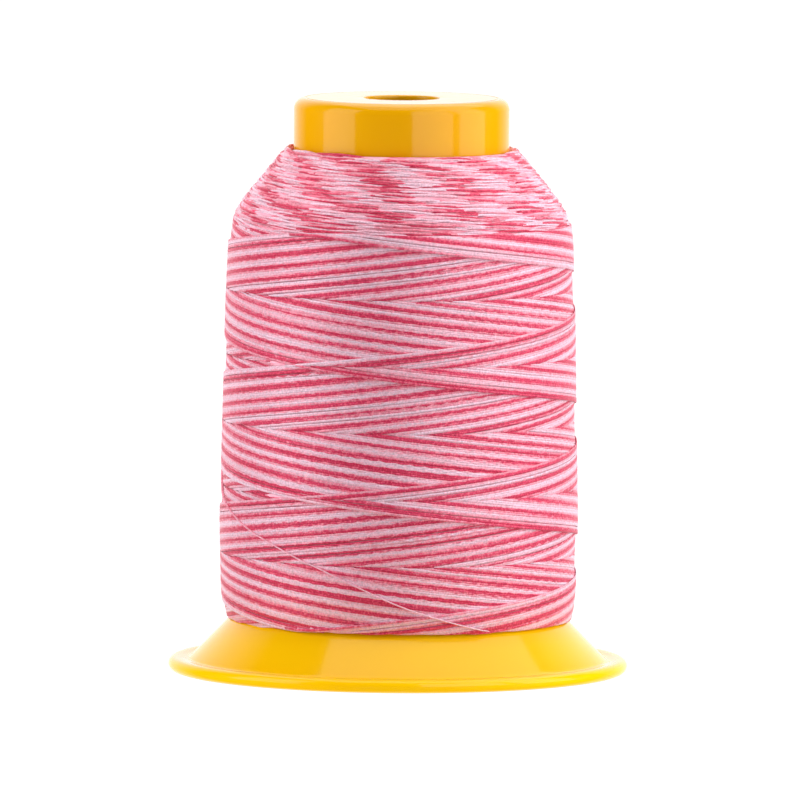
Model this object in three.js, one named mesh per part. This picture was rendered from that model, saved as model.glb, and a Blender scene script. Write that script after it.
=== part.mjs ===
// Spool of woolly serger thread: a moulded plastic spool, the thread wound on it, and the loose end.
// Millimetres, +Z up, the origin at the centre of the ring that the spool stands on.
import * as THREE from 'three';

// Overall sizes of the spool
const SPOOL_HEIGHT = 70;
const TUBE_RADIUS = 13.15;
const WALL = 1.5;
const CAP_EDGE_RADIUS = 1.4;
const SPINDLE_HOLE_RADIUS = 4.55;

// The flared foot: a cone that ends in a flat lip with a round outer edge
const LIP_RADIUS = 28;
const LIP_THICKNESS = 1.64;
const CONE_FOOT_RADIUS = 25.25;
const CONE_SLOPE = Math.tan(THREE.MathUtils.degToRad(46));

// The winding: height of its top, the gap to the plastic, and the cross-wound lays
const GAP = 0.3;
const WINDING_TOP = 63.9;
const WINDING_FOOT_RADIUS = 20.95;
const LEAD = 16.08;
const RISING_LAY_HEIGHT = 8.26;
const FALLING_LAY_HEIGHT = 4.94;
const LAY_STEP = 0.27;
const LAY_EDGE = 1.7;
const SHOULDER_START = 53.2;
const SHOULDER_FULL = 55.6;
const SHOULDER_WAVE = 0.1;

// Mean outer surface of the winding, from the cap down to the foot
const WINDING_OUTLINE = [
  { height: 63.9, radius: 13.95 },
  { height: 63.2, radius: 14.65 },
  { height: 62.3, radius: 15.4 },
  { height: 60.0, radius: 17.3 },
  { height: 57.6, radius: 19.2 },
  { height: 56.2, radius: 20.05 },
  { height: 54.6, radius: 20.6 },
  { height: 52.5, radius: 20.85 },
  { height: 45.0, radius: 21.15 },
  { height: 30.0, radius: 21.45 },
  { height: 18.5, radius: 21.7 },
  { height: 10.5, radius: 21.5 },
  { height: 8.2, radius: 21.3 },
  { height: 7.1, radius: 21.1 },
  { height: 6.6, radius: WINDING_FOOT_RADIUS },
];

// The loose end: thickness, and the points of its route round and down the winding.
// turn is in degrees from the front, positive to the right.
const THREAD_DIAMETER = 0.3;
const TAIL_STEPS = 72;
const TAIL_SIDES = 8;
const TAIL_ROUTE = [
  { turn: -108.0, height: 25.55, radius: 22.02 },
  { turn: -100.0, height: 24.9, radius: 21.98 },
  { turn: -91.0, height: 23.7, radius: 21.9 },
  { turn: -82.0, height: 22.25, radius: 21.92 },
  { turn: -73.5, height: 20.85, radius: 22.12 },
  { turn: -66.3, height: 19.75, radius: 22.14 },
  { turn: -59.3, height: 18.75, radius: 22.14 },
  { turn: -52.3, height: 17.8, radius: 22.12 },
  { turn: -46.9, height: 17.15, radius: 22.1 },
  { turn: -40.0, height: 16.2, radius: 22.07 },
  { turn: -32.4, height: 15.1, radius: 22.02 },
  { turn: -26.7, height: 14.35, radius: 22.0 },
  { turn: -20.5, height: 13.35, radius: 21.96 },
  { turn: -11.5, height: 11.9, radius: 21.9 },
  { turn: -2.1, height: 10.35, radius: 21.87 },
  { turn: 4.1, height: 9.45, radius: 21.92 },
  { turn: 11.6, height: 8.55, radius: 21.93 },
  { turn: 16.9, height: 7.95, radius: 21.88 },
  { turn: 23.8, height: 7.25, radius: 21.66 },
  { turn: 28.3, height: 6.85, radius: 21.52 },
];

// How finely the round forms are divided
const SPOOL_SEGMENTS = 64;
const WINDING_SEGMENTS = 80;
const WINDING_ROWS = 46;
const CAP_EDGE_STEPS = 5;
const LIP_EDGE_STEPS = 6;

const plastic = new THREE.MeshStandardMaterial({ color: 0xf5b50f, roughness: 0.28, metalness: 0 });
const yarn = new THREE.MeshStandardMaterial({ color: 0xe57f9d, roughness: 0.85, metalness: 0 });
const looseYarn = new THREE.MeshStandardMaterial({ color: 0xf0a0b4, roughness: 0.85, metalness: 0 });

const fraction = (value) => value - Math.floor(value);

// Age of a lay, 0 at its newest turn and close to 1 a lead away, where it slopes back over the width of an edge
function layAge(leads) {
  const edge = LAY_EDGE / LEAD;
  const age = fraction(leads);
  return age < 1 - edge ? age / (1 - edge) : (1 - age) / edge;
}

// Height of the foot's outer cone at a radius
const coneHeight = (radius) => LIP_THICKNESS + (CONE_FOOT_RADIUS - radius) * CONE_SLOPE;

// A distance square to the cone, measured straight up
const upFromCone = (distance) => distance * Math.hypot(1, CONE_SLOPE);

// Points of a round edge: centre, radius, and first and last angle in degrees from the outward direction
function roundEdge(centreRadius, centreHeight, edgeRadius, from, to, steps) {
  const points = [];
  for (let i = 0; i <= steps; i += 1) {
    const angle = THREE.MathUtils.degToRad(from + ((to - from) * i) / steps);
    const x = centreRadius + edgeRadius * Math.cos(angle);
    const y = centreHeight + edgeRadius * Math.sin(angle);
    points.push(new THREE.Vector2(x, y));
  }
  return points;
}

// The spool is one moulding: cap, tube, cone and lip, hollow from below
function makeSpool() {
  const boreRadius = TUBE_RADIUS - WALL;
  const capUnderside = SPOOL_HEIGHT - WALL;
  const lipEdge = LIP_THICKNESS / 2;
  const innerConeDrop = upFromCone(WALL);
  const ringInnerRadius = CONE_FOOT_RADIUS + (LIP_THICKNESS - innerConeDrop) / CONE_SLOPE;
  const profile = [
    new THREE.Vector2(SPINDLE_HOLE_RADIUS, capUnderside),
    new THREE.Vector2(boreRadius, capUnderside),
    new THREE.Vector2(boreRadius, coneHeight(boreRadius) - innerConeDrop),
    new THREE.Vector2(ringInnerRadius, 0),
    ...roundEdge(LIP_RADIUS - lipEdge, lipEdge, lipEdge, -90, 90, LIP_EDGE_STEPS),
    new THREE.Vector2(CONE_FOOT_RADIUS, LIP_THICKNESS),
    new THREE.Vector2(TUBE_RADIUS, coneHeight(TUBE_RADIUS)),
    ...roundEdge(
      TUBE_RADIUS - CAP_EDGE_RADIUS, SPOOL_HEIGHT - CAP_EDGE_RADIUS, CAP_EDGE_RADIUS, 0, 90, CAP_EDGE_STEPS,
    ),
    new THREE.Vector2(SPINDLE_HOLE_RADIUS, SPOOL_HEIGHT),
    new THREE.Vector2(SPINDLE_HOLE_RADIUS, capUnderside),
  ];
  const geometry = new THREE.LatheGeometry(profile, SPOOL_SEGMENTS);
  geometry.rotateX(Math.PI / 2);
  const mesh = new THREE.Mesh(geometry, plastic);
  mesh.name = 'spool';
  return mesh;
}

// Mean radius of the winding at a height, from the outline table
function meanRadius(height) {
  for (let i = 1; i < WINDING_OUTLINE.length; i += 1) {
    const upper = WINDING_OUTLINE[i - 1];
    const lower = WINDING_OUTLINE[i];
    if (height >= lower.height) {
      const share = Math.min(1, (height - lower.height) / (upper.height - lower.height));
      return THREE.MathUtils.lerp(lower.radius, upper.radius, share);
    }
  }
  return WINDING_FOOT_RADIUS;
}

// How far the rising and falling lays have worn down from their newest turn, 0 to 1 each
function layAges(turn, height) {
  const climb = turn / (2 * Math.PI);
  return {
    rising: layAge((RISING_LAY_HEIGHT - height) / LEAD + climb),
    falling: layAge((height - FALLING_LAY_HEIGHT) / LEAD + climb),
  };
}

// Surface of the winding: crossing lays that step down from the newest turn of each, and a wavy shoulder
function windingRadius(turn, height) {
  const { rising, falling } = layAges(turn, height);
  const shoulder = THREE.MathUtils.smoothstep(height, SHOULDER_START, SHOULDER_FULL);
  const steps = LAY_STEP * (1 - rising - falling);
  const waves = SHOULDER_WAVE * (Math.sin(3 * turn + 1.1 * height) + Math.sin(5 * turn - 0.9 * height));
  return meanRadius(height) + steps * (1 - shoulder) + waves * shoulder;
}

// The winding is one ring: its outer rows, then the underside along the cone and the bore along the tube
function makeWinding() {
  const boreRadius = TUBE_RADIUS + GAP;
  const foot = WINDING_OUTLINE[WINDING_OUTLINE.length - 1].height;
  const columns = [];
  for (let column = 0; column < WINDING_SEGMENTS; column += 1) {
    const turn = (2 * Math.PI * column) / WINDING_SEGMENTS;
    const rows = [];
    for (let row = 0; row < WINDING_ROWS; row += 1) {
      const height = THREE.MathUtils.lerp(WINDING_TOP, foot, row / WINDING_ROWS);
      rows.push([windingRadius(turn, height), height]);
    }
    rows.push([WINDING_FOOT_RADIUS, coneHeight(WINDING_FOOT_RADIUS) + upFromCone(GAP)]);
    rows.push([boreRadius, coneHeight(boreRadius) + upFromCone(GAP)]);
    rows.push([boreRadius, WINDING_TOP]);
    columns.push(rows.map(([radius, height]) => [radius * Math.sin(turn), -radius * Math.cos(turn), height]));
  }
  const rowCount = columns[0].length;
  const index = [];
  for (let column = 0; column < WINDING_SEGMENTS; column += 1) {
    const here = column * rowCount;
    const next = ((column + 1) % WINDING_SEGMENTS) * rowCount;
    for (let row = 0; row < rowCount; row += 1) {
      const under = (row + 1) % rowCount;
      index.push(here + row, here + under, next + row);
      index.push(next + row, here + under, next + under);
    }
  }
  const geometry = new THREE.BufferGeometry();
  geometry.setAttribute('position', new THREE.Float32BufferAttribute(columns.flat(2), 3));
  geometry.setIndex(index);
  geometry.computeVertexNormals();
  const mesh = new THREE.Mesh(geometry, yarn);
  mesh.name = 'wound_thread';
  return mesh;
}

// The loose end lies taut over the winding and is tucked in at its foot
function makeTail() {
  const points = TAIL_ROUTE.map(({ turn, height, radius }) => {
    const angle = THREE.MathUtils.degToRad(turn);
    return new THREE.Vector3(radius * Math.sin(angle), -radius * Math.cos(angle), height);
  });
  const section = new THREE.Shape();
  for (let side = 0; side < TAIL_SIDES; side += 1) {
    const angle = (2 * Math.PI * side) / TAIL_SIDES;
    const x = (THREAD_DIAMETER / 2) * Math.cos(angle);
    const y = (THREAD_DIAMETER / 2) * Math.sin(angle);
    if (side === 0) {
      section.moveTo(x, y);
    } else {
      section.lineTo(x, y);
    }
  }
  const geometry = new THREE.ExtrudeGeometry(section, {
    steps: TAIL_STEPS,
    curveSegments: 1,
    extrudePath: new THREE.CatmullRomCurve3(points),
  });
  const mesh = new THREE.Mesh(geometry, looseYarn);
  mesh.name = 'thread_tail';
  return mesh;
}

const spoolOfThread = new THREE.Group();
spoolOfThread.name = 'spool_of_thread';
spoolOfThread.add(makeSpool(), makeWinding(), makeTail());

export default spoolOfThread;
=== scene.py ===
"""A spool of woolly serger thread.

The thread is one long yarn, wound to and fro on the spool: turns that rise to the right, turns that fall to
the right, and the short arcs of the tapered shoulder where older layers turned back. Each turn that shows is
a strand of its own, and its colour comes from how far along the yarn it lies, because the yarn is space-dyed.
Lengths are metres unless a name says mm; a turn is an angle round the spool from the front, positive to the
right.
"""
import math

import bpy
import numpy as np
from mathutils import Matrix, Vector


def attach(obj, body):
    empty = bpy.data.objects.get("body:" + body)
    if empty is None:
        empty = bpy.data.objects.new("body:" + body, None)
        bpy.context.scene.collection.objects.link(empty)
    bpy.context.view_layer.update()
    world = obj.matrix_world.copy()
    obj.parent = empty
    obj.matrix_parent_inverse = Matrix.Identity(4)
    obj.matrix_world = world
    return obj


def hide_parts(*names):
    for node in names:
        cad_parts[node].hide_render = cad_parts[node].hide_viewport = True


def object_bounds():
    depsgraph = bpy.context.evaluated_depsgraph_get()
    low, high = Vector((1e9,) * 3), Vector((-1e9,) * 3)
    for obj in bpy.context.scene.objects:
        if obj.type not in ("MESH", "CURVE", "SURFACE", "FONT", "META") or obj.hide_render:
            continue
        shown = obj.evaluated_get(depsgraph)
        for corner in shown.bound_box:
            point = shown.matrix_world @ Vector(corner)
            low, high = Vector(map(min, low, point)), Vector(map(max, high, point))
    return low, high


MM = 0.001
TAU = 2 * math.pi

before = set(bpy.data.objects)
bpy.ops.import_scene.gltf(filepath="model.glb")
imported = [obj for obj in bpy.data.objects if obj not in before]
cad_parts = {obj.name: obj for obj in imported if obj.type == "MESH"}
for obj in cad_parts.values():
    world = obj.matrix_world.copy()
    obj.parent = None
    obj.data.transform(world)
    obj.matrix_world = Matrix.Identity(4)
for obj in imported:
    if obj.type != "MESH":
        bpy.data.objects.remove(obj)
cad_low, cad_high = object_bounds()

# Sizes of the spool, in mm
SPOOL_HEIGHT = cad_high.z / MM
LIP_RADIUS = cad_high.x / MM
TUBE_RADIUS = 13.15
WALL = 1.5
CAP_EDGE_RADIUS = 1.4
HOLE_RADIUS = 4.55
LIP_THICKNESS = 1.64
CONE_FOOT_RADIUS = 25.25
CONE_DEGREES = 46
CONE_SLOPE = math.tan(math.radians(CONE_DEGREES))

# Winding: lead of the turns, and heights where the newest rising and falling turns pass the front, in mm
LEAD = 16.08
RISING_HEIGHT = 8.26
FALLING_HEIGHT = 4.94
FOOT_HEIGHT = (RISING_HEIGHT + FALLING_HEIGHT) / 2
# Number of leads, and of yarns in a lead
LEADS = 3
YARNS = 70
# Step from a lay's newest turn to its oldest, loft of the surface and middling radius, in mm
LAY_STEP = 0.27
LOFT = 0.1
WINDING_RADIUS = 21.4
# Height whose radius serves to measure along a turn, in mm
MIDDLE_HEIGHT = 30

# Mean outer surface of the winding, from the foot up: height, radius, in mm
OUTLINE = (
    (6.6, 20.95), (7.1, 21.1), (8.2, 21.3), (10.5, 21.5), (18.5, 21.7), (30.0, 21.45), (45.0, 21.15),
    (52.5, 20.85), (54.6, 20.6), (56.2, 20.05), (57.6, 19.2), (60.0, 17.3), (62.3, 15.4), (63.2, 14.65),
    (63.9, 13.95),
)

# One yarn: half its width and height where it lies, and how much lower it runs under a crossing yarn, in mm
HALF_WIDTH = 0.18
HALF_HEIGHT = 0.048
UNDER = 0.17

# Space-dyeing, in colour repeats: for one lead at the newest turn, and how much that grows with age
DYE_PER_LEAD = 11.02
DYE_GROWTH = 2.24
# Colour repeats for a mm of climb along the yarn, and offset of the falling lay
DYE_ALONG = 0.0482
DYE_FALLING = 0.4126
# Slow drift of the dye with height above the foot: height in mm, share of a repeat
DYE_DRIFT = ((0, -0.2), (12, -0.15), (20, 0.12), (28, 0.11), (36, -0.05), (48, -0.05))
# Uneven dyeing from one turn to the next: share that carries over, and spread, in repeats
DYE_CARRY = 0.8
DYE_WALK = 0.04
DYE_JITTER = 0.02
# Where the colour starts at the foot, and the length of one repeat along the yarn in mm
DYE_START = 0.36
DYE_REPEAT = TAU * WINDING_RADIUS / (LEAD * DYE_ALONG)

# How the turns are drawn: steps, hidden ends and rounding of the tips, in radians of turn
STEP_TURN = 0.085
END_TURN = 0.1
TIP_TURN = 0.12
FOOT_TIP_TURN = 0.26
# Share of their spacing over which they dive under a crossing one
DIVE_SHARE = 0.75
# Wander of a yarn and its wavelength, and unevenness of the foot, in mm
WANDER = 0.022
WANDER_LENGTH = 17
FOOT_UNEVEN = 0.05
# Unevenness of a yarn's width as a share, and its wavelength in mm
WIDTH_UNEVEN = 0.04
WIDTH_LENGTH = 2.6
# A wander is the sum of three waves: their sizes and their rates
WAVE_SHARES = (1.0, 0.6, 0.45)
WAVE_RATES = (1.0, 1.7, 3.1)

# Shoulder: leads of arcs on it, and steps of an arc
SHOULDER_LEADS = 15
SHOULDER_STEPS = 9
# How far an arc is drawn before and after its tip, and the rounding and unevenness of the tip, in mm
SHOULDER_RISE = 2.5
SHOULDER_REACH = (9, 12)
SHOULDER_BEND = (1.5, 4.0)
SHOULDER_UNEVEN = 0.16
# Half the width and height of a yarn on the shoulder, in mm
SHOULDER_HALF_WIDTH = 0.15
SHOULDER_HALF_HEIGHT = 0.08
# Spread of an arc's tip in degrees, of its slope as a share, how soon it dives, its lean and taper
SHOULDER_TIP_SPREAD = 3
SHOULDER_SLOPE = (0.8, 1.15)
SHOULDER_DIVE = 1.6
SHOULDER_LEAN = 0.8
SHOULDER_TAPER = 0.6
# Colour repeats on the shoulder: for one lead of arcs, spreads from arc to arc, start, and lean to the pale
SHOULDER_DYE_LEAD = 11.12
SHOULDER_DYE_WALK = 0.012
SHOULDER_DYE_JITTER = 0.055
SHOULDER_DYE_START = 0.0
SHOULDER_PALENESS = 0.25

# The loose end: diameter, half the width it is drawn with and how far off the turns it lies, in mm
TAIL_DIAMETER = 0.3
TAIL_HALF_WIDTH = 0.085
TAIL_LIE = 0.08
# Degrees on each side over which it spans a step and eases, and how finely its route is divided
TAIL_REACH = 5
TAIL_EASE = 4
TAIL_STEPS = 8
# Its route: turn in degrees, height and radius in mm
TAIL_ROUTE = (
    (-108.0, 25.55, 22.02), (-100.0, 24.9, 21.98), (-91.0, 23.7, 21.9), (-82.0, 22.25, 21.92),
    (-73.5, 20.85, 22.12), (-66.3, 19.75, 22.14), (-59.3, 18.75, 22.14), (-52.3, 17.8, 22.12),
    (-46.9, 17.15, 22.1), (-40.0, 16.2, 22.07), (-32.4, 15.1, 22.02), (-26.7, 14.35, 22.0),
    (-20.5, 13.35, 21.96), (-11.5, 11.9, 21.9), (-2.1, 10.35, 21.87), (4.1, 9.45, 21.92),
    (11.6, 8.55, 21.93), (16.9, 7.95, 21.88), (23.8, 7.25, 21.66), (28.3, 6.85, 21.52),
)
# Where its colour starts on the repeat, and the shade of its strand
TAIL_DYE = 0.67
TAIL_TONE = 0.6
# The last turn before it: length in degrees, steps, easing in degrees, slope of the easing in mm a degree
LAST_TURN_DEGREES = 90
LAST_TURN_STEPS = 60
LAST_TURN_EASE = 14
LAST_TURN_SLOPE = 0.036
# The tuck at its end: degrees, steps, depth and drop in mm, change of colour in repeats
TUCK_DEGREES = 6
TUCK_STEPS = 8
TUCK_DEPTH = 1.1
TUCK_DROP = 0.35
TUCK_DYE = 0.3

# Finer sizes of the spool's edges, in mm, and its divisions
FOOT_FILLET = 0.45
LIP_HOLLOW = 0.14
LIP_BEAD = 0.25
HOLE_EDGE = 0.25
# Where the straight lines of cone, tube and cap start or stop beside a round edge
CONE_START = 0.2
TUBE_STOP = 0.3
FLAT_START = 0.5
# Where the cap's round edge stops, and the fine groove there: mm outwards and down from the flat's rim
CAP_EDGE_DEGREES = 84
CAP_GROOVE = ((0.02, 0.03), (-0.05, 0.09), (-0.12, 0.09), (-0.18, 0.01), (-0.26, 0))
SPOOL_SEGMENTS = 256
# The body under the turns: its depth below them and the gaps to the tube and to the cone, in mm
BODY_DEPTH = 0.17
BODY_GAP = 0.3
BODY_CONE_GAP = 0.45
# Its foot above the turns' foot, how far in that slopes, and the depth of its outer skin, in mm
BODY_LIFT = 0.15
BODY_UNDERCUT = 0.6
BODY_SKIN = 0.01
# Heights of its top outside and at the tube, in mm
BODY_TOP = 63.7
BODY_BORE_TOP = (63.6, 63.0)
# How finely it is divided
BODY_ROWS = 150
BODY_SEGMENTS = 200
# Heights between which the lays' steps fade out at the shoulder, in mm
SHOULDER_START = 53.2
SHOULDER_FULL = 55.6
# Share of a lead over which a lay slopes back to its newest turn
LAY_SLOPE = 0.06

# Soft lights: azimuths in degrees from the camera, positive to the right, foot and top in metres, radiance
SOFTBOXES = (
    (-91, -50.5, 0, 0.6, 1.15),
    (11.5, 56, 0, 0.6, 1.2),
    (64, 99, 0, 0.6, 1.15),
)
# Matt fill from both sides, seen in no reflection, in the same columns
FILLS = (
    (-106, -60, 0, 0.6, 3.7),
    (60, 108, 0, 0.6, 4.2),
)
SOFTBOX_DISTANCE = 0.5
OVERHEAD_HEIGHT = 0.6
OVERHEAD_LOW = (-0.27, -0.3)
OVERHEAD_HIGH = (0.51, 0.5)
OVERHEAD_GLOW = 1.1
# Glow of the table, its height and half its width in metres
FLOOR_GLOW = 1.0
FLOOR_HEIGHT = -0.00002
FLOOR_HALF = 3.0
# Glow of the dim side of the room and of the white side behind the spool
ROOM_GLOW = 0.008
BACK_GLOW = 1.3
# Where the white side starts, 1 straight behind and 0 at the sides
BACK_START = 0.55
# White ground as the camera sees it
GROUND_GLOW = 1.02

# Camera: a long lens a little above the foot, turned slightly so that the spool leans to the right
CAMERA_DISTANCE = 2.0
CAMERA_ELEVATION = 4.9
CAMERA_ROLL = 0.42
CAMERA_LENS = 738.9
CAMERA_TARGET = (0.00005, 0.0, 0.0331)


def make_camera():
    data = bpy.data.cameras.new("camera")
    data.sensor_width = 36
    data.lens = CAMERA_LENS
    data.clip_start = 0.1
    data.clip_end = 50
    camera = bpy.data.objects.new("camera", data)
    bpy.context.scene.collection.objects.link(camera)
    elevation = math.radians(CAMERA_ELEVATION)
    back = Vector((0, -math.cos(elevation), math.sin(elevation))) * CAMERA_DISTANCE
    pitch = Matrix.Rotation(math.pi / 2 - elevation, 4, "X")
    roll = Matrix.Rotation(math.radians(CAMERA_ROLL), 4, "Z")
    camera.matrix_world = Matrix.Translation(Vector(CAMERA_TARGET) + back) @ (pitch @ roll)
    bpy.context.scene.camera = camera


def outward(turn):
    """Unit vectors that point out of the spool at these turns."""
    turn = np.asarray(turn, float)
    return np.stack([np.sin(turn), -np.cos(turn), np.zeros_like(turn)], -1)


def place(turn, height, radius):
    """Points in mm from turn in radians, height and radius in mm."""
    points = outward(turn) * np.asarray(radius, float)[..., None]
    points[..., 2] = height
    return points


def smooth(value, low, high):
    t = np.clip((value - low) / (high - low), 0, 1)
    return t * t * (3 - 2 * t)


def mean_radius(height):
    heights, radii = zip(*OUTLINE)
    return np.interp(height, heights, radii)


def length_along(points):
    """Length of a line of points from its first to each of them."""
    return np.r_[0, np.cumsum(np.linalg.norm(np.diff(points, axis=0), axis=1))]


def grid_map(u, v, i, j):
    """Map positions of the four corners of each cell i, j of a grid."""
    corners = ((u[i], v[j]), (u[i], v[j + 1]), (u[i + 1], v[j + 1]), (u[i + 1], v[j]))
    return np.stack([np.stack(c, -1) for c in corners], 2).reshape(-1, 2)


class Strands:
    """Strands of yarn for one mesh of closed tubes, with a flat map of one row for each strand."""

    MAP_PIXELS = 1024

    def __init__(self, sides):
        self.sides = sides
        self.strands = []

    def add(self, points, out, width, height, dye, tone):
        """points and out are rows of x, y, z; width and height are half sizes in mm, one or one a point."""
        tangent = np.gradient(points, axis=0)
        tangent /= np.linalg.norm(tangent, axis=1)[:, None]
        side = np.cross(tangent, out)
        side /= np.linalg.norm(side, axis=1)[:, None]
        up = np.cross(side, tangent)
        count = len(points)
        angle = TAU * np.arange(self.sides) / self.sides
        width = np.broadcast_to(width, count)[:, None, None]
        height = np.broadcast_to(height, count)[:, None, None]
        ring = (up[:, None] * height * np.cos(angle)[None, :, None]
                + side[:, None] * width * np.sin(angle)[None, :, None])
        self.strands.append((points[:, None] + ring, length_along(points), np.broadcast_to(dye, count), tone))

    def rows_used(self, scale, gap):
        row, x = 0, 0.0
        for _, along, _, _ in self.strands:
            need = along[-1] * scale + gap
            if x + need > 1:
                row, x = row + 1, 0.0
            x += need
        return row + 1

    def map_places(self):
        """Lower left corner of each strand's row on the map, and the map's length for 1 mm."""
        gap = 4 / self.MAP_PIXELS
        row_height = (self.sides + 1) / self.MAP_PIXELS
        rows = int(1 / row_height)
        low, high = 0.0, 1 / max(s[1][-1] for s in self.strands)
        for _ in range(30):
            scale = (low + high) / 2
            if self.rows_used(scale, gap) <= rows:
                low = scale
            else:
                high = scale
        places, row, x = [], 0, 0.0
        for _, along, _, _ in self.strands:
            need = along[-1] * low + gap
            if x + need > 1:
                row, x = row + 1, 0.0
            places.append((x + gap / 2, row * row_height))
            x += need
        return places, low

    def build(self, name, material):
        sides = self.sides
        side_step = 1 / self.MAP_PIXELS
        places, scale = self.map_places()
        cap_width = 1.2 * side_step
        points, faces, uvs, dyes, tones = [], [], [], [], []
        start = 0
        for (ring, along, dye, tone), (x, y) in zip(self.strands, places):
            count = len(ring)
            points.append(ring.reshape(-1, 3))
            i, j = np.meshgrid(np.arange(count - 1), np.arange(sides), indexing="ij")
            here, there = start + i * sides, start + (i + 1) * sides
            after = (j + 1) % sides
            faces.append(np.stack([here + j, here + after, there + after, there + j], -1).reshape(-1, 4))
            u = x + along * scale
            v = y + np.arange(sides + 1) * side_step
            uvs.append(grid_map(u, v, i, j))
            for end, first in ((0, start), (count - 1, start + (count - 1) * sides)):
                outwards = -1 if end == 0 else 1
                for k in range(1, sides - 1, 2):
                    last = min(k + 2, sides - 1)
                    cap = [0, k, k + 1, last] if last > k + 1 else [0, k, k + 1, k + 1]
                    cap = cap if end else cap[::-1]
                    faces.append(np.array([[first + c for c in cap]]))
                    base = u[end] + outwards * 0.3 * side_step
                    angle = TAU * np.array(cap) / sides
                    cap_u = base + outwards * cap_width * (1 - np.cos(angle)) / 2
                    cap_v = y + sides * side_step * (0.5 + 0.45 * np.sin(angle))
                    uvs.append(np.stack([cap_u, cap_v], -1))
            dyes.append(np.repeat(dye, sides))
            tones.append(np.full(count * sides, tone))
            start += count * sides
        return finish_mesh(name, np.concatenate(points), np.concatenate(faces), np.concatenate(uvs), material,
                           {"dye": np.concatenate(dyes), "tone": np.concatenate(tones)})


def finish_mesh(name, points_mm, faces, uvs, material, attributes=()):
    """A smooth-shaded object from points in mm, faces of four corners (last doubled for three) and a map."""
    mesh = bpy.data.meshes.new(name)
    triangle = faces[:, 2] == faces[:, 3]
    keep = np.ones(faces.shape, bool)
    keep[triangle, 3] = False
    totals = np.where(triangle, 3, 4)
    mesh.vertices.add(len(points_mm))
    mesh.vertices.foreach_set("co", (points_mm * MM).astype(np.float32).ravel())
    mesh.loops.add(int(totals.sum()))
    mesh.loops.foreach_set("vertex_index", faces[keep].astype(np.int32))
    mesh.polygons.add(len(faces))
    mesh.polygons.foreach_set("loop_start", np.r_[0, np.cumsum(totals)[:-1]].astype(np.int32))
    mesh.update(calc_edges=True)
    layer = mesh.uv_layers.new(name="OFBake")
    layer.data.foreach_set("uv", uvs.reshape(faces.shape + (2,))[keep].astype(np.float32).ravel())
    for key in attributes:
        attribute = mesh.attributes.new(key, "FLOAT", "POINT")
        attribute.data.foreach_set("value", attributes[key].astype(np.float32))
    mesh.shade_smooth()
    mesh.validate()
    mesh.materials.append(material)
    piece = bpy.data.objects.new(name, mesh)
    bpy.context.scene.collection.objects.link(piece)
    return piece


def slow_wave(rng, along, size, wavelength):
    """A smooth random wander of about this size, in mm, along a strand."""
    phase = rng.uniform(0, TAU, 3)
    share = np.array(WAVE_SHARES)
    rate = TAU / wavelength * np.array(WAVE_RATES)
    return size * (share * np.sin(along[:, None] * rate + phase)).sum(1) / share.sum()


def dye_drift(height):
    rise, share = zip(*DYE_DRIFT)
    return np.interp(height - FOOT_HEIGHT, rise, share)


def dye_phase(age, height, falling, jitter):
    """Where on the dye's repeat a turn lies, from its age in leads and its height in mm."""
    climb = DYE_ALONG * (height - FOOT_HEIGHT)
    lay = climb - DYE_FALLING if falling else -climb
    return lay - DYE_PER_LEAD * age - DYE_GROWTH * age ** 2 + dye_drift(height) - DYE_START + jitter


def turn_of_foot_tip(age):
    return TAU * (age - (RISING_HEIGHT - FOOT_HEIGHT) / LEAD)


def lay_radius(height, age, other):
    """Outer surface of the winding where lays of these ages cross, in mm."""
    return mean_radius(height) + LAY_STEP * (1 - age - other) + LOFT


def add_body_turns(strands, falling, rng):
    """The long turns of one lay, drawn only where they lie on top; their ends dive under the other lay."""
    sign = -1 if falling else 1
    walk = 0.0
    for yarn in range(YARNS):
        age = (yarn + 0.5) / YARNS
        tip = turn_of_foot_tip(age)
        walk = DYE_CARRY * walk + rng.normal(0, DYE_WALK)
        jitter = walk + rng.normal(0, DYE_JITTER)
        foot = FOOT_HEIGHT + rng.normal(0, FOOT_UNEVEN)
        for half_lead in range(2 * LEADS):
            top = (half_lead + 1) * math.pi
            shown = (top - (1 - age) * math.pi, top) if falling else (top - math.pi, top - age * math.pi)
            low, high = shown[0] - END_TURN, shown[1] + END_TURN
            count = max(6, int((high - low) / STEP_TURN) + 2)
            climbed = np.linspace(low, high, count)
            other = age + (top - climbed if falling else climbed - top + math.pi) / math.pi
            along = climbed * mean_radius(MIDDLE_HEIGHT)
            height = np.abs(climbed) * LEAD / TAU
            near_foot = np.exp(-np.abs(climbed) / FOOT_TIP_TURN)
            rounded = (np.hypot(climbed, FOOT_TIP_TURN) - FOOT_TIP_TURN) * LEAD / TAU
            height = foot + height + (rounded - height) * near_foot
            from_top = 2 * LEADS * math.pi - climbed
            near_top = np.exp(-np.abs(from_top) / TIP_TURN)
            past_top = np.clip(-from_top, 0, None) * 2
            overshoot = past_top + (np.hypot(from_top, TIP_TURN) - np.abs(from_top)) * near_top
            height = height - overshoot * LEAD / TAU
            height += slow_wave(rng, along, WANDER, WANDER_LENGTH) + rng.normal(0, WANDER / 2)
            edge = DIVE_SHARE / YARNS
            buried = smooth(other, 1 - edge, 1 + edge)
            under = np.maximum(buried, 1 - smooth(other, age - edge, age + edge))
            on_top = lay_radius(height, age, np.clip(other, 0, 1))
            below = lay_radius(height, age, np.clip(other - 1, 0, 1))
            radius = on_top + (below - on_top) * buried - HALF_HEIGHT - UNDER * under
            turn = tip + sign * climbed
            width = HALF_WIDTH * (1 + slow_wave(rng, along, WIDTH_UNEVEN, WIDTH_LENGTH))
            points = place(turn, height, radius)
            dye = dye_phase(age, height, falling, jitter)
            strands.add(points, outward(turn), width, HALF_HEIGHT, dye, rng.uniform(-1, 1))


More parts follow.
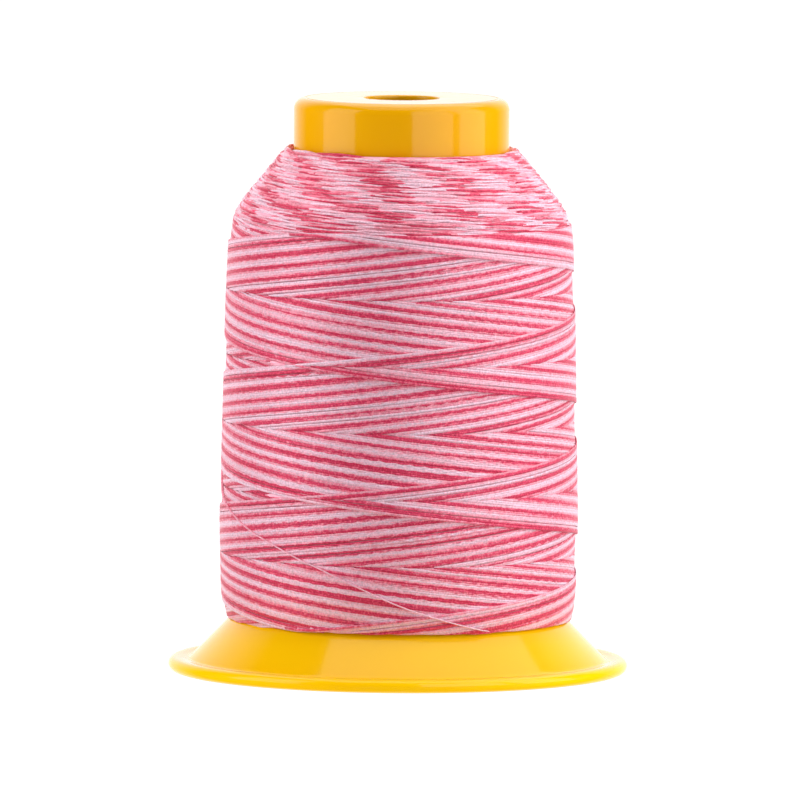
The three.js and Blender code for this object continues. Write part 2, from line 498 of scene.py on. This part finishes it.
def slope_of_shoulder():
    """Points of the shoulder's outline from its foot to the cap, in mm: height, radius, length of slope."""
    top = FOOT_HEIGHT + LEADS * LEAD
    heights = np.array([top] + [h for h, _ in OUTLINE if h > top])
    radii = mean_radius(heights) + LOFT
    length = np.r_[0, np.cumsum(np.hypot(np.diff(heights), np.diff(radii)))]
    return heights, radii, length


def add_shoulder_turns(strands, rng):
    """Arcs where older layers turned back, each lower and wider than the one before, oldest under the cap."""
    heights, radii, length = slope_of_shoulder()
    count = int(SHOULDER_LEADS * YARNS)
    phase = SHOULDER_DYE_START
    for index in range(count):
        share = (index + 0.5) / count
        s = share * length[-1] + rng.normal(0, SHOULDER_UNEVEN)
        radius = np.interp(s, length, radii) - SHOULDER_HALF_HEIGHT
        tip_height = np.interp(s, length, heights)
        tip = turn_of_foot_tip(1 + index / YARNS) + rng.normal(0, math.radians(SHOULDER_TIP_SPREAD))
        phase -= SHOULDER_DYE_LEAD / YARNS + rng.normal(0, SHOULDER_DYE_WALK)
        bend = rng.uniform(*SHOULDER_BEND)
        slope = LEAD / TAU / radius * rng.uniform(*SHOULDER_SLOPE)
        reach = rng.uniform(*SHOULDER_REACH)
        along = np.linspace(-SHOULDER_RISE, reach, SHOULDER_STEPS + 1)
        drop = slope * (np.hypot(along, bend) - bend)
        turn = tip + along / radius
        under = UNDER * smooth(-along, 0, SHOULDER_DIVE)
        points = place(turn, tip_height - drop, radius - under)
        lean = outward(turn) + np.array([0, 0, SHOULDER_LEAN])
        dye = phase - along / DYE_REPEAT + rng.normal(0, SHOULDER_DYE_JITTER)
        dye = dye - SHOULDER_PALENESS * np.sin(TAU * dye) / TAU
        width = SHOULDER_HALF_WIDTH * (1 - SHOULDER_TAPER * smooth(along, reach * 0.5, reach))
        strands[index % 2].add(points, lean, width, SHOULDER_HALF_HEIGHT, dye, rng.uniform(-1, 1))


def revolve(name, profile, segments, material, radius_at=None):
    """A closed form turned about the spool's axis: profile is a loop of radius, height in mm; its last point
    joins the first. radius_at(turn, height, radius) may change the radius from place to place."""
    profile = np.array(profile, float)
    rows = len(profile)
    turn = TAU * np.arange(segments) / segments
    grid_turn, grid_row = np.meshgrid(turn, np.arange(rows), indexing="ij")
    radius, height = profile[grid_row, 0], profile[grid_row, 1]
    if radius_at is not None:
        radius = radius_at(grid_turn, height, radius)
    points = place(grid_turn, height, radius).reshape(-1, 3)
    i, j = np.meshgrid(np.arange(segments), np.arange(rows), indexing="ij")
    right, lower = (i + 1) % segments, (j + 1) % rows
    quad = (i * rows + j, i * rows + lower, right * rows + lower, right * rows + j)
    faces = np.stack(quad, -1).reshape(-1, 4)
    loop = np.vstack([profile, profile[:1]])
    length = np.r_[0, np.cumsum(np.hypot(*np.diff(loop, axis=0).T))]
    v = 0.005 + 0.99 * length / length[-1]
    u = 0.005 + 0.99 * np.arange(segments + 1) / segments
    return finish_mesh(name, points, faces, grid_map(u, v, i, j), material)


def arc(centre_radius, centre_height, radius, first, last, steps):
    """Points of a round edge in mm, between two angles in degrees from the outward direction."""
    angle = np.radians(np.linspace(first, last, steps + 1))
    return list(zip(centre_radius + radius * np.cos(angle), centre_height + radius * np.sin(angle)))


def cone_height(radius):
    return LIP_THICKNESS + (CONE_FOOT_RADIUS - radius) * CONE_SLOPE


def line(start, end, steps):
    """Points from start up to, but without, end."""
    share = np.arange(steps) / steps
    return [(start[0] + (end[0] - start[0]) * t, start[1] + (end[1] - start[1]) * t) for t in share]


def make_spool(material):
    bore = TUBE_RADIUS - WALL
    under_cap = SPOOL_HEIGHT - WALL
    half_lip = LIP_THICKNESS / 2
    inner_drop = WALL * math.hypot(1, CONE_SLOPE)
    ring = CONE_FOOT_RADIUS + (LIP_THICKNESS - inner_drop) / CONE_SLOPE
    cap_flat = TUBE_RADIUS - CAP_EDGE_RADIUS
    profile = []
    profile += line((HOLE_RADIUS, under_cap), (bore, under_cap), 6)
    profile += line((bore, under_cap), (bore, cone_height(bore) - inner_drop), 12)
    profile += line((bore, cone_height(bore) - inner_drop), (ring, 0), 12)
    profile += line((ring, 0), (LIP_RADIUS - half_lip, 0), 4)
    profile += arc(LIP_RADIUS - half_lip, half_lip, half_lip, -90, 90, 14)
    hollow = LIP_THICKNESS - LIP_HOLLOW
    fillet_reach = FOOT_FILLET * math.tan(math.radians(CONE_DEGREES / 2))
    crease = CONE_FOOT_RADIUS + LIP_HOLLOW / CONE_SLOPE + fillet_reach
    bead = LIP_RADIUS - half_lip - LIP_BEAD
    share = np.arange(1, 7) / 7
    drop = (LIP_THICKNESS - hollow) * smooth(share, 0, 1)
    profile += list(zip(bead + (crease - bead) * share, LIP_THICKNESS - drop))
    profile += arc(crease, hollow + FOOT_FILLET, FOOT_FILLET, 270, 180 + CONE_DEGREES, 5)
    cone_end = (TUBE_RADIUS, cone_height(TUBE_RADIUS))
    cone_start = profile[-1][0] - CONE_START
    profile += line((cone_start, cone_height(cone_start)), cone_end, 16)
    profile += line(cone_end, (TUBE_RADIUS, SPOOL_HEIGHT - CAP_EDGE_RADIUS - TUBE_STOP), 16)
    profile += arc(cap_flat, SPOOL_HEIGHT - CAP_EDGE_RADIUS, CAP_EDGE_RADIUS, 0, CAP_EDGE_DEGREES, 12)
    profile += [(cap_flat + out, SPOOL_HEIGHT - down) for out, down in CAP_GROOVE]
    profile += line((cap_flat - FLAT_START, SPOOL_HEIGHT), (HOLE_RADIUS + HOLE_EDGE, SPOOL_HEIGHT), 5)
    profile += arc(HOLE_RADIUS + HOLE_EDGE, SPOOL_HEIGHT - HOLE_EDGE, HOLE_EDGE, 90, 180, 5)
    return revolve("spool_moulding", profile, SPOOL_SEGMENTS, material)


def lay_age(leads):
    """0 at a lay's newest turn, near 1 a lead away, with a short slope back."""
    age = leads - np.floor(leads)
    return np.where(age < 1 - LAY_SLOPE, age / (1 - LAY_SLOPE), (1 - age) / LAY_SLOPE)


def lay_ages(turn, height):
    """Ages of the rising and the falling lay at a turn in radians and a height in mm."""
    rising = lay_age((RISING_HEIGHT - height) / LEAD + turn / TAU)
    falling = lay_age((height - FALLING_HEIGHT) / LEAD + turn / TAU)
    return rising, falling


def body_radius(turn, height, radius):
    """Radius of the wound body under the drawn turns; its bore and underside stay as they are."""
    rising, falling = lay_ages(turn, height)
    steps = LAY_STEP * (1 - rising - falling) * (1 - smooth(height, SHOULDER_START, SHOULDER_FULL))
    return np.where(radius > mean_radius(height) - BODY_SKIN, radius + steps - BODY_DEPTH, radius)


def make_winding_body(material):
    bore = TUBE_RADIUS + BODY_GAP
    foot_radius, foot_height = mean_radius(FOOT_HEIGHT), FOOT_HEIGHT + BODY_LIFT
    outer = [(float(mean_radius(h)), float(h)) for h in np.linspace(foot_height, BODY_TOP, BODY_ROWS)]
    inner_end = (bore, cone_height(bore) + BODY_CONE_GAP)
    bore_top, bore_start = BODY_BORE_TOP
    profile = outer + [(bore, bore_top)] + line((bore, bore_start), inner_end, 6) + [inner_end]
    under = foot_radius - BODY_UNDERCUT
    profile += [(under, cone_height(under) + BODY_CONE_GAP)]
    return revolve("winding_body", profile[::-1], BODY_SEGMENTS, material, body_radius)


def catmull_rom(points, steps):
    """A smooth centripetal line through the points."""
    points = np.vstack([2 * points[0] - points[1], points, 2 * points[-1] - points[-2]])
    line_points = []
    for a, b, c, d in zip(points, points[1:], points[2:], points[3:]):
        t1 = np.sqrt(np.linalg.norm(b - a))
        t2 = t1 + np.sqrt(np.linalg.norm(c - b))
        t3 = t2 + np.sqrt(np.linalg.norm(d - c))
        t = np.linspace(t1, t2, steps, endpoint=False)[:, None]
        ab = (t1 - t) / t1 * a + t / t1 * b
        bc = (t2 - t) / (t2 - t1) * b + (t - t1) / (t2 - t1) * c
        cd = (t3 - t) / (t3 - t2) * c + (t - t2) / (t3 - t2) * d
        abc = (t2 - t) / t2 * ab + t / t2 * bc
        bcd = (t3 - t) / (t3 - t1) * bc + (t - t1) / (t3 - t1) * cd
        line_points.append((t2 - t) / (t2 - t1) * abc + (t - t1) / (t2 - t1) * bcd)
    return np.vstack(line_points + [points[-2:-1]])


def lie_on_winding(turn, height):
    """Radii at which a taut yarn lies on the steps of the winding, below the shoulder."""
    radius = lay_radius(height, *lay_ages(turn, height))
    reach = np.abs(turn[:, None] - turn) < math.radians(TAIL_REACH)
    highest = np.where(reach, radius, 0).max(1)
    near = np.exp(-((turn[:, None] - turn) / math.radians(TAIL_EASE)) ** 2)
    return (near * highest).sum(1) / near.sum(1) + TAIL_LIE


def add_strand_along(strands, turn, height, radius, half_width, half_height, dye):
    strands.add(place(turn, height, radius), outward(turn), half_width, half_height, dye, TAIL_TONE)


def make_tail(material):
    """The loose end: it leaves the newest turn at the back on the left and is tucked in at the foot."""
    turn, height, radius = np.array(TAIL_ROUTE).T
    route = catmull_rom(place(np.radians(turn), height, radius), TAIL_STEPS)
    turn = np.arctan2(route[:, 0], -route[:, 1])
    height = route[:, 2]
    radius = lie_on_winding(turn, height)
    route = place(turn, height, radius)
    along = length_along(route)
    strand = Strands(10)
    dye = TAIL_DYE + along / DYE_REPEAT
    add_strand_along(strand, turn, height, radius, TAIL_HALF_WIDTH, TAIL_DIAMETER / 2, dye)
    tail = strand.build("loose_end", material)
    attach(tail, "root")
    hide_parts("thread_tail")


def add_tail_ends(strands):
    """The last turn, from the winding up to the start of the loose end, and the tuck at its other end."""
    first_turn, first_height, _ = TAIL_ROUTE[0]
    back = np.linspace(LAST_TURN_DEGREES, 0, LAST_TURN_STEPS)
    near = np.exp(-back / LAST_TURN_EASE)
    height = first_height + LEAD * back / 360 + LAST_TURN_SLOPE * LAST_TURN_EASE * (1 - near)
    turn = np.radians(first_turn - back)
    radius = lie_on_winding(turn, height)
    half_width = HALF_WIDTH + (TAIL_HALF_WIDTH - HALF_WIDTH) * near
    half_height = HALF_HEIGHT + (TAIL_DIAMETER / 2 - HALF_HEIGHT) * near
    add_strand_along(strands, turn, height, radius, half_width, half_height, TAIL_DYE)
    turn, height, _ = TAIL_ROUTE[-1]
    forward = np.linspace(0, 1, TUCK_STEPS)
    tuck_turn = np.radians(turn + TUCK_DEGREES * forward)
    radius = lie_on_winding(np.radians([turn]), np.array([height])) - TUCK_DEPTH * forward ** 2
    height = height - TUCK_DROP * forward
    dye = TAIL_DYE + TUCK_DYE
    add_strand_along(strands, tuck_turn, height, radius, TAIL_HALF_WIDTH, TAIL_DIAMETER / 2, dye)


class Nodes:
    """Short calls for building one material's or world's node tree."""

    def __init__(self, tree):
        self.tree = tree
        tree.nodes.clear()

    def add(self, kind, inputs=(), **settings):
        node = self.tree.nodes.new(kind)
        for key, value in settings.items():
            setattr(node, key, value)
        for key, value in dict(inputs).items():
            if isinstance(value, bpy.types.NodeSocket):
                self.tree.links.new(value, node.inputs[key])
            else:
                node.inputs[key].default_value = value
        return node

    def ramp(self, factor, stops):
        node = self.add("ShaderNodeValToRGB", {"Fac": factor})
        elements = node.color_ramp.elements
        while len(elements) < len(stops):
            elements.new(1.0)
        for element, (position, colour) in zip(elements, stops):
            element.position = position
            element.color = colour if len(colour) == 4 else (*colour, 1)
        return node.outputs["Color"]

    def math(self, operation, *values):
        return self.add("ShaderNodeMath", dict(enumerate(values)), operation=operation).outputs[0]

    def noise(self, vector, scale, detail=2.0, roughness=0.5):
        node = self.add("ShaderNodeTexNoise",
                        {"Vector": vector, "Scale": scale, "Detail": detail, "Roughness": roughness})
        return node.outputs["Fac"]

    def mix(self, factor, first, second, blend="MIX"):
        node = self.add("ShaderNodeMix", {0: factor, 6: first, 7: second}, data_type="RGBA", blend_type=blend)
        return node.outputs[2]

    def tint(self, colour, red, green, blue):
        """A colour multiplied by a factor for each channel."""
        factor = self.add("ShaderNodeCombineColor", {0: red, 1: green, 2: blue}).outputs[0]
        return self.mix(1.0, colour, factor, "MULTIPLY")

    def surface(self, colour, inputs):
        """The shader, with this colour, as the tree's output."""
        shader = self.add("ShaderNodeBsdfPrincipled", {"Base Color": colour, **inputs})
        self.add("ShaderNodeOutputMaterial", {"Surface": shader.outputs[0]})

    def range(self, value, low, high, new_low=0.0, new_high=1.0):
        inputs = {"Value": value, "From Min": low, "From Max": high, "To Min": new_low, "To Max": new_high}
        return self.add("ShaderNodeMapRange", inputs).outputs[0]


def new_material(name):
    """A material, its nodes, and the place on the object that its patterns follow."""
    material = bpy.data.materials.new(name)
    material.use_nodes = True
    n = Nodes(material.node_tree)
    return material, n, n.add("ShaderNodeTexCoord").outputs["Object"]


# Roughness of the yarn, its white gloss, the share of its sheen that is tinted by the dye, and its fuzz
YARN_ROUGHNESS = 0.45
YARN_GLOSS = 0.9
YARN_SATIN = 0.35
YARN_FUZZ = 0.15
# Its crimp: grain for a metre, shade from dark to light, relief in metres, share and colour of pale flecks,
# painted glints of light
CRIMP_GRAIN = 4200
CRIMP_SHADE = (0.76, 1.2)
CRIMP_RELIEF = 0.00006
PAINTED_GLINT_SHARE = 0.2
PAINTED_GLINT_COLOUR = (0.95, 0.5, 0.6)
# Raggedness of the dye: grain for a metre, and size in repeats
DYE_GRAIN = 1500
DYE_RAGGED = 0.07
# Colours of the dyed yarn along one repeat, as linear colours
PALEST = (0.93, 0.64, 0.77)
PALE = (0.93, 0.49, 0.60)
PINK = (0.92, 0.25, 0.35)
CRIMSON = (0.77, 0.03, 0.115)
DEEP = (0.68, 0.006, 0.07)
DYE_STOPS = (
    (0.0, PALEST), (0.15, PALE), (0.29, PINK), (0.375, CRIMSON), (0.5, DEEP), (0.625, CRIMSON), (0.71, PINK),
    (0.85, PALE), (1.0, PALEST),
)
# Colours of the plastic, of the cap and tube, the thin foot and the lip; foot and lip paler as painted light
# from the table
PLASTIC = (0.71, 0.335, 0.001)
PLASTIC_FOOT_PAINTED_LIGHT = (0.84, 0.465, 0.001)
PLASTIC_LIP_PAINTED_LIGHT = (0.95, 0.53, 0.001)
# Specks of dust: their colour, and the share of places that stay clean
SPECK = (0.95, 0.9, 0.8)
SPECK_SHARE = 0.985


def yarn_material():
    """Crimped nylon: the dye's colours along the yarn, with the fine mottling and bumps of its crimp and pale
    flecks of painted glint.
    """
    material, n, place_node = new_material("woolly_yarn")
    dye = n.add("ShaderNodeAttribute", attribute_name="dye").outputs["Fac"]
    tone = n.add("ShaderNodeAttribute", attribute_name="tone").outputs["Fac"]
    ragged = n.range(n.noise(place_node, DYE_GRAIN, 3.0, 0.7), 0.3, 0.7, -DYE_RAGGED, DYE_RAGGED)
    repeat = n.math("FRACT", n.math("ADD", dye, ragged))
    colour = n.ramp(repeat, DYE_STOPS)
    crimp = n.noise(place_node, CRIMP_GRAIN, 3.0, 0.65)
    # Painted glints: pale flecks where the crimp scatters light
    colour = n.mix(n.range(crimp, 0.5, 0.72, 0.0, PAINTED_GLINT_SHARE), colour, (*PAINTED_GLINT_COLOUR, 1))
    shade = n.math("ADD", n.math("MULTIPLY", tone, 0.04), n.range(crimp, 0.3, 0.7, *CRIMP_SHADE))
    colour = n.tint(colour, shade, shade, shade)
    bump = n.add("ShaderNodeBump", {"Height": crimp, "Strength": 0.7, "Distance": CRIMP_RELIEF}).outputs[0]
    n.surface(colour, {
        "Normal": bump, "Roughness": YARN_ROUGHNESS, "Specular IOR Level": YARN_GLOSS,
        "Metallic": YARN_SATIN, "Sheen Weight": YARN_FUZZ, "Sheen Roughness": 0.5,
    })
    return material


def body_material():
    """The wound body between the drawn turns: the same yarn in deep shade."""
    material, n, place_node = new_material("yarn_in_shade")
    streaks = n.add("ShaderNodeMapping", {"Vector": place_node, "Scale": (1, 1, 9)}).outputs[0]
    colour = n.ramp(n.noise(streaks, 420, 3.0), ((0.28, CRIMSON), (0.42, PINK), (0.55, PALE)))
    relief = n.noise(streaks, 900, 2.0)
    bump = n.add("ShaderNodeBump", {"Height": relief, "Strength": 0.8, "Distance": 0.0001})
    n.surface(colour, {"Normal": bump.outputs[0], "Roughness": 0.9, "Specular IOR Level": 0.15})
    return material


def plastic_material():
    """Glossy moulded plastic with scuffs and dust; painted light makes the slender foot and lip paler, as the
    bright table lights them.
    """
    material, n, place_node = new_material("moulded_plastic")
    height = n.add("ShaderNodeSeparateXYZ", {0: place_node}).outputs[2]
    # Painted light: paler colours towards the foot and lip, for the light that the bright table below throws
    # on them
    painted_light_height = n.range(height, 0.0005, 0.012)
    colour = n.ramp(painted_light_height, (
        (0.0, PLASTIC_LIP_PAINTED_LIGHT), (0.07, PLASTIC_LIP_PAINTED_LIGHT), (0.12, PLASTIC_FOOT_PAINTED_LIGHT), (0.35, PLASTIC_FOOT_PAINTED_LIGHT), (1.0, PLASTIC),
    ))
    flow = n.range(n.noise(place_node, 60, 2.0), 0.35, 0.65, 0.975, 1.025)
    colour = n.tint(colour, 1.0, flow, flow)
    cells = n.add("ShaderNodeTexVoronoi", {"Vector": place_node, "Scale": 420, "Randomness": 1.0})
    cell_red = n.add("ShaderNodeSeparateColor", {0: cells.outputs["Color"]}).outputs[0]
    chosen = n.math("GREATER_THAN", cell_red, SPECK_SHARE)
    speck = n.math("MULTIPLY", n.math("LESS_THAN", cells.outputs["Distance"], 0.05), chosen)
    colour = n.mix(speck, colour, (*SPECK, 1))
    scuffs = n.add("ShaderNodeMapping", {"Vector": place_node, "Scale": (1, 1, 6)}).outputs[0]
    roughness = n.range(n.noise(scuffs, 700, 3.0), 0.3, 0.7, 0.07, 0.13)
    relief = n.noise(place_node, 350, 2.0)
    bump = n.add("ShaderNodeBump", {"Height": relief, "Strength": 0.12, "Distance": 0.00005})
    n.surface(colour, {"Normal": bump.outputs[0], "Roughness": roughness, "IOR": 1.5})
    return material


def floor_material():
    material, n, place_node = new_material("white_table")
    colour = n.mix(n.noise(place_node, 3.0), (0.10, 0.10, 0.10, 1), (0.11, 0.11, 0.11, 1))
    n.surface(colour, {
        "Roughness": 0.9, "Specular IOR Level": 0.1,
        "Emission Color": (1, 1, 1, 1), "Emission Strength": FLOOR_GLOW,
    })
    return material


def make_floor():
    mesh = bpy.data.meshes.new("table_top")
    grid = 12
    ticks = np.linspace(-FLOOR_HALF, FLOOR_HALF, grid + 1)
    points = [(x, y, FLOOR_HEIGHT) for y in ticks for x in ticks]
    wide = grid + 1
    corners = [j * wide + i for j in range(grid) for i in range(grid)]
    mesh.from_pydata(points, [], [(c, c + 1, c + wide + 1, c + wide) for c in corners])
    mesh.materials.append(floor_material())
    floor = bpy.data.objects.new("table_top", mesh)
    bpy.context.scene.collection.objects.link(floor)
    floor.visible_glossy = False


def area_light(width, length, radiance, matrix):
    data = bpy.data.lights.new("softbox", "AREA")
    data.shape = "RECTANGLE"
    data.size, data.size_y = width, length
    data.energy = radiance * math.pi * width * length
    lamp = bpy.data.objects.new("softbox", data)
    bpy.context.scene.collection.objects.link(lamp)
    lamp.matrix_world = matrix
    lamp.visible_camera = False
    return lamp


def softbox(first, last, foot, top, radiance):
    """An upright soft light between two azimuths as seen from the spool."""
    middle = math.radians((first + last) / 2)
    width = 2 * SOFTBOX_DISTANCE * math.tan(math.radians((last - first) / 2))
    centre = outward(middle) * SOFTBOX_DISTANCE + (0, 0, (foot + top) / 2)
    facing = Matrix.Rotation(middle, 4, "Z") @ Matrix.Rotation(math.pi / 2, 4, "X")
    return area_light(width, top - foot, radiance, Matrix.Translation(centre) @ facing)


def overhead():
    """A level soft light above the spool."""
    (x0, y0), (x1, y1) = OVERHEAD_LOW, OVERHEAD_HIGH
    centre = ((x0 + x1) / 2, (y0 + y1) / 2, OVERHEAD_HEIGHT)
    area_light(x1 - x0, y1 - y0, OVERHEAD_GLOW, Matrix.Translation(centre))


def make_world():
    """White to the camera; for reflections white behind the spool and dim on the camera's side."""
    world = bpy.data.worlds.new("studio")
    world.use_nodes = True
    bpy.context.scene.world = world
    n = Nodes(world.node_tree)
    direction = n.add("ShaderNodeTexCoord").outputs["Generated"]
    parts = n.add("ShaderNodeSeparateXYZ", {0: direction}).outputs
    squares = [n.math("MULTIPLY", part, part) for part in (parts[0], parts[1])]
    level = n.math("SQRT", n.math("ADD", *squares))
    behind = n.math("DIVIDE", parts[1], n.math("MAXIMUM", level, 0.001))
    strength = n.range(behind, BACK_START, 1.0, ROOM_GLOW, BACK_GLOW)
    seen = n.add("ShaderNodeLightPath").outputs["Is Camera Ray"]
    strength = n.add("ShaderNodeMix", {0: seen, 2: strength, 3: GROUND_GLOW}, data_type="FLOAT").outputs[0]
    background = n.add("ShaderNodeBackground", {"Color": (1, 1, 1, 1), "Strength": strength})
    n.add("ShaderNodeOutputWorld", {"Surface": background.outputs[0]})


def make_lights():
    make_world()
    for box in SOFTBOXES:
        softbox(*box)
    for fill in FILLS:
        softbox(*fill).visible_glossy = False
    overhead()


def dress(piece, slot, *nodes):
    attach(piece, "root")
    if nodes:
        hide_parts(*nodes)


def main():
    make_camera()
    yarn = yarn_material()
    make_tail(yarn)
    rng = np.random.default_rng(7)
    rising, falling = Strands(6), Strands(6)
    add_body_turns(rising, False, rng)
    add_body_turns(falling, True, rng)
    add_shoulder_turns((rising, falling), rng)
    add_tail_ends(falling)
    dress(rising.build("turns_rising", yarn), "woolly_thread", "wound_thread")
    dress(falling.build("turns_falling", yarn), "woolly_thread", "wound_thread")
    dress(make_winding_body(body_material()), "woolly_thread", "wound_thread")
    dress(make_spool(plastic_material()), "spool_plastic", "spool")
    make_floor()
    make_lights()
    bpy.context.scene.view_settings.view_transform = "Standard"


main()
